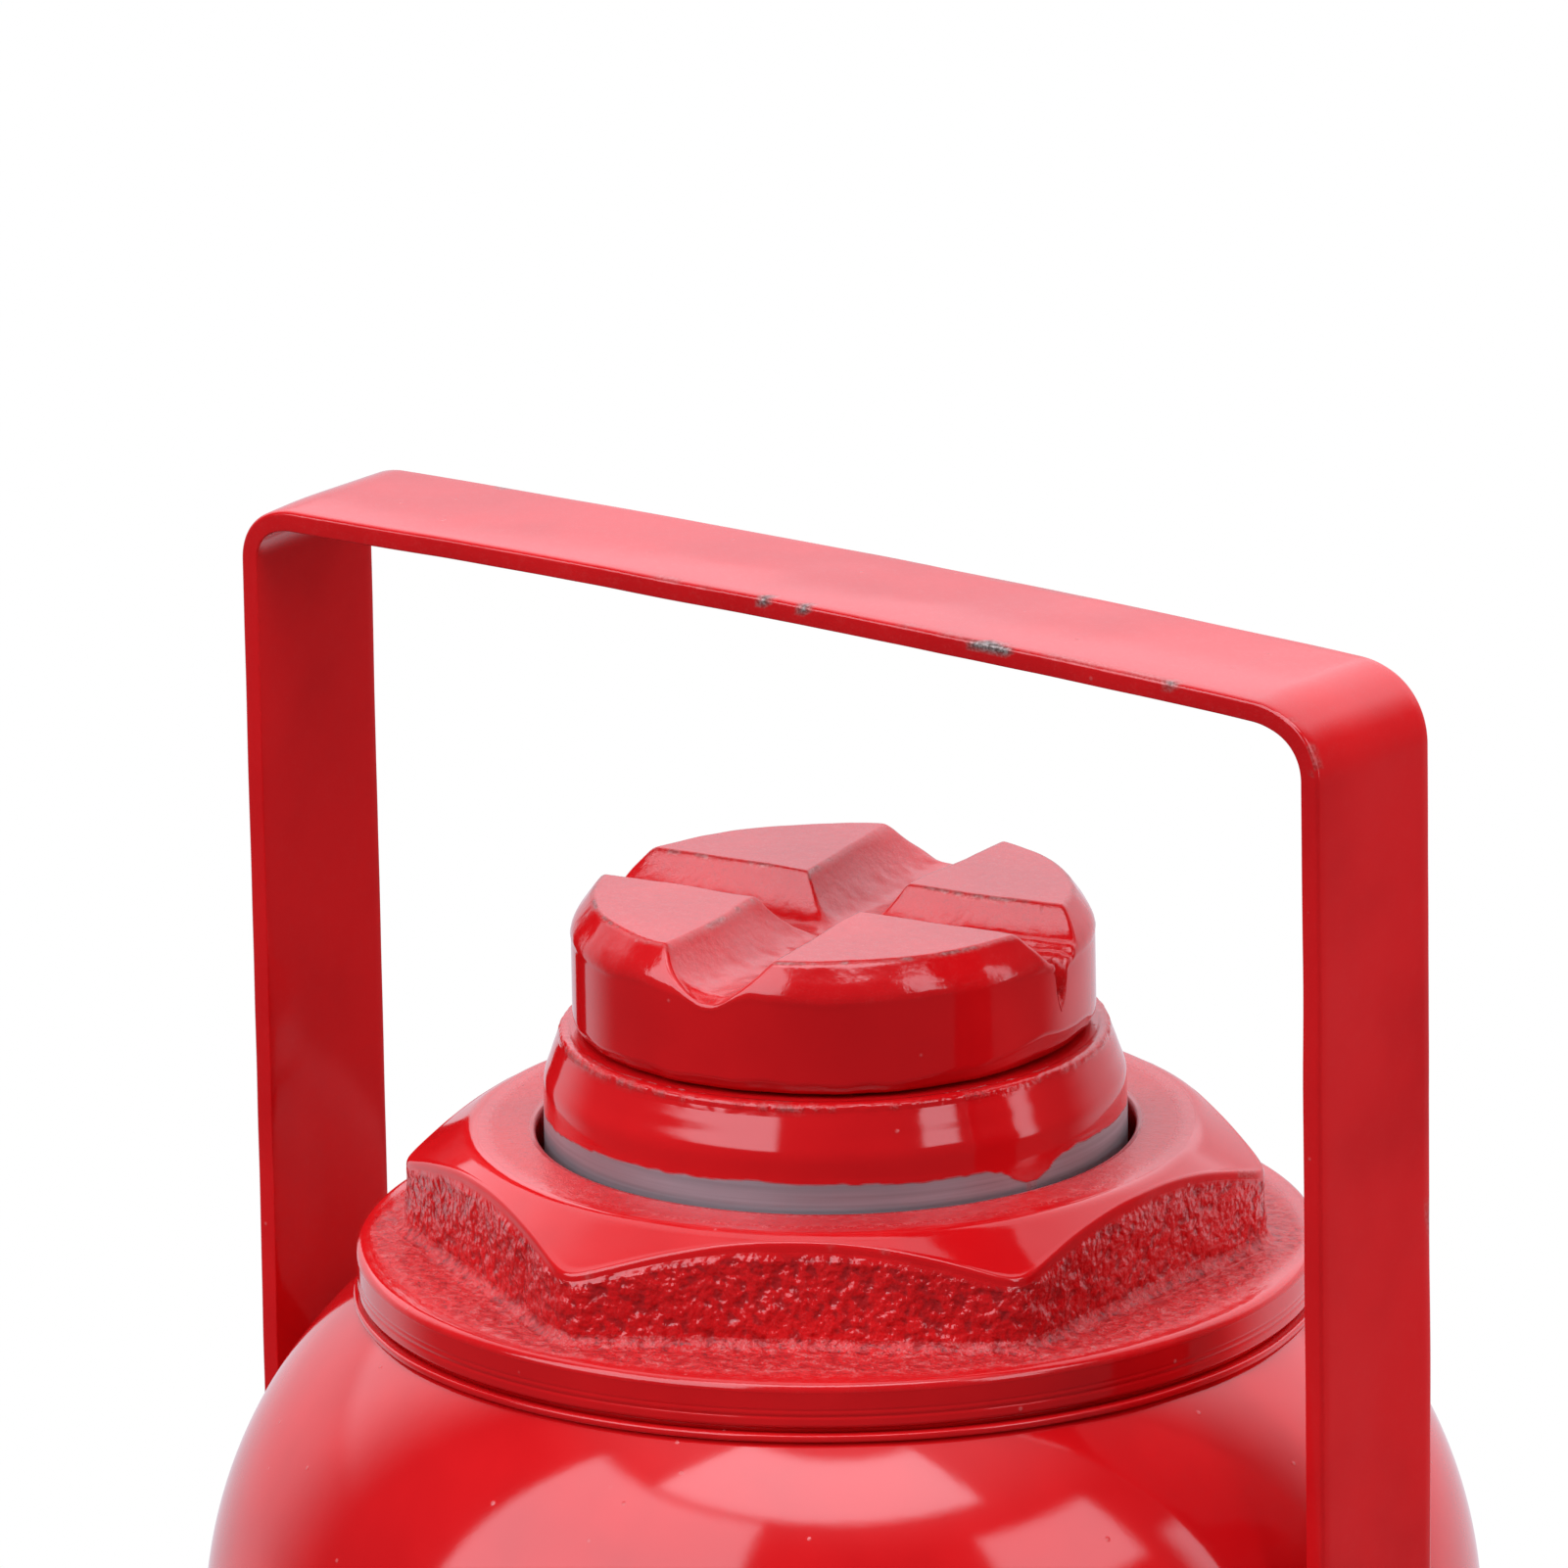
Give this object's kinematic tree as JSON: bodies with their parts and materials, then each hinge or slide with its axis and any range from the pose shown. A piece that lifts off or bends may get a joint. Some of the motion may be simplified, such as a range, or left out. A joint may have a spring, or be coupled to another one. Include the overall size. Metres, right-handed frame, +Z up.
{
  "type": "hydraulic bottle jack",
  "caption": "Upright hydraulic bottle jack with a ram, crossed-groove swivel saddle, hexagon top nut, strap carry handle, lever pump and release valve.",
  "frame": {"origin": "on the ram axis at the underside of the base", "axes": "+Z up along the ram; the pump and handle socket are at -Y; the carry handle legs are at -X and +X"},
  "size_m": [0.1778, 0.3019, 0.3384],
  "materials": {
    "red_enamel": "glossy red enamel over cast and pressed steel",
    "dark_steel": "oiled dark ground steel",
    "bare_steel": "ground steel",
    "zinc_plate": "bright zinc plating",
    "spring_steel": "blued spring steel",
    "rubber": "black nitrile rubber",
    "bronze": "bronze",
    "brass": "turned brass",
    "ptfe": "off-white low friction plastic"
  },
  "bodies": {
    "jack_body": {"base": "red_enamel", "reservoir_gasket": "rubber", "cylinder_gasket": "bronze", "hydraulic_cylinder": "dark_steel", "reservoir_shell": "red_enamel", "top_nut": "red_enamel", "nut_seal_ring": "red_enamel", "nut_o_ring": "rubber", "ram_guide_bush": "bronze", "ram_wiper_seal": "rubber", "pivot_bosses": "bare_steel", "pivot_bolts": "zinc_plate", "pivot_washers": "zinc_plate", "pivot_spacer": "zinc_plate", "pump_cylinder": "bare_steel", "pump_gasket": "bronze", "pump_packing": "rubber", "pump_gland_nut": "zinc_plate", "base_pin": "zinc_plate", "base_pin_washers": "zinc_plate", "base_pin_clips": "spring_steel", "release_gland_nut": "zinc_plate", "suction_strainer": "brass", "discharge_spring": "spring_steel", "discharge_plug": "zinc_plate", "relief_spring": "spring_steel", "relief_screw": "zinc_plate", "passage_plugs": "zinc_plate"},
    "ram": {"ram": "dark_steel", "ram_piston": "bare_steel", "piston_seal": "rubber", "piston_backup_ring": "ptfe", "piston_wear_ring": "bronze", "piston_nut": "bare_steel"},
    "saddle": {"saddle": "red_enamel", "saddle_ring": "spring_steel"},
    "carry_handle": {"carry_handle": "red_enamel"},
    "plunger": {"pump_plunger": "bare_steel", "plunger_seal": "rubber", "plunger_pin": "zinc_plate", "plunger_pin_clips": "spring_steel"},
    "socket": {"handle_socket": "red_enamel", "link_pin": "zinc_plate", "link_pin_clips": "spring_steel"},
    "links": {"link_plates": "red_enamel"},
    "release_slide": {"release_o_ring": "rubber", "release_ball": "bare_steel"},
    "release_spindle": {"release_spindle": "zinc_plate"},
    "filler_plug": {"filler_plug": "rubber", "filler_washer": "zinc_plate"},
    "suction_ball": {"suction_ball": "bare_steel"},
    "discharge_ball": {"discharge_ball": "bare_steel"},
    "relief_ball": {"relief_ball": "bare_steel"}
  },
  "joints": [
    {"name": "ram_slide", "type": "slide", "parent": "jack_body", "child": "ram", "axis": [0, 0, 1], "range_m": [0, 0.18]},
    {"name": "saddle_swivel", "type": "hinge", "parent": "ram", "child": "saddle", "pos_m": [0, 0, 0.284], "axis": [0, 0, 1], "continuous": true},
    {"name": "carry_handle_swing", "type": "hinge", "parent": "jack_body", "child": "carry_handle", "pos_m": [0, 0, 0.165], "axis": [-1, 0, 0], "range_deg": [0, 135]},
    {"name": "plunger_slide", "type": "slide", "parent": "jack_body", "child": "plunger", "axis": [0, 0, 1], "range_m": [0, 0.0206]},
    {"name": "socket_pivot", "type": "hinge", "parent": "plunger", "child": "socket", "pos_m": [0, -0.117, 0.116], "axis": [-1, 0, 0], "range_deg": [0, 43]},
    {"name": "link_pivot", "type": "hinge", "parent": "socket", "child": "links", "pos_m": [0, -0.09095, 0.12626], "axis": [-1, 0, 0], "range_deg": [-43.01, 0]},
    {"name": "release_slide", "type": "slide", "parent": "jack_body", "child": "release_slide", "axis": [0, -1, 0], "range_m": [0, 0.003]},
    {"name": "release_turn", "type": "hinge", "parent": "release_slide", "child": "release_spindle", "pos_m": [0.042, 0, 0.02], "axis": [0, -1, 0], "range_deg": [0, 720]},
    {"name": "filler_pull", "type": "slide", "parent": "jack_body", "child": "filler_plug", "axis": [-0.4226, 0.9063, 0], "range_m": [0, 0.02]},
    {"name": "suction_lift", "type": "slide", "parent": "jack_body", "child": "suction_ball", "axis": [0, 0, 1], "range_m": [0, 0.002]},
    {"name": "discharge_lift", "type": "slide", "parent": "jack_body", "child": "discharge_ball", "axis": [0, 0, -1], "range_m": [0, 0.0018], "stiffness_N_per_m": 150, "springref_m": -0.002, "deforming": ["discharge_spring"]},
    {"name": "relief_lift", "type": "slide", "parent": "jack_body", "child": "relief_ball", "axis": [-1, 0, 0], "range_m": [0, 0.0015], "stiffness_N_per_m": 1500, "springref_m": -0.002, "deforming": ["relief_spring"]}
  ],
  "couplings": [
    {"joint": "carry_handle_swing", "follows": "ram_slide", "rad_per_m": 13.09},
    {"joint": "plunger_slide", "follows": "socket_pivot", "m_per_rad": 0.027348},
    {"joint": "link_pivot", "follows": "socket_pivot", "ratio": -1},
    {"joint": "release_slide", "follows": "release_turn", "m_per_rad": 0.00023873}
  ]
}
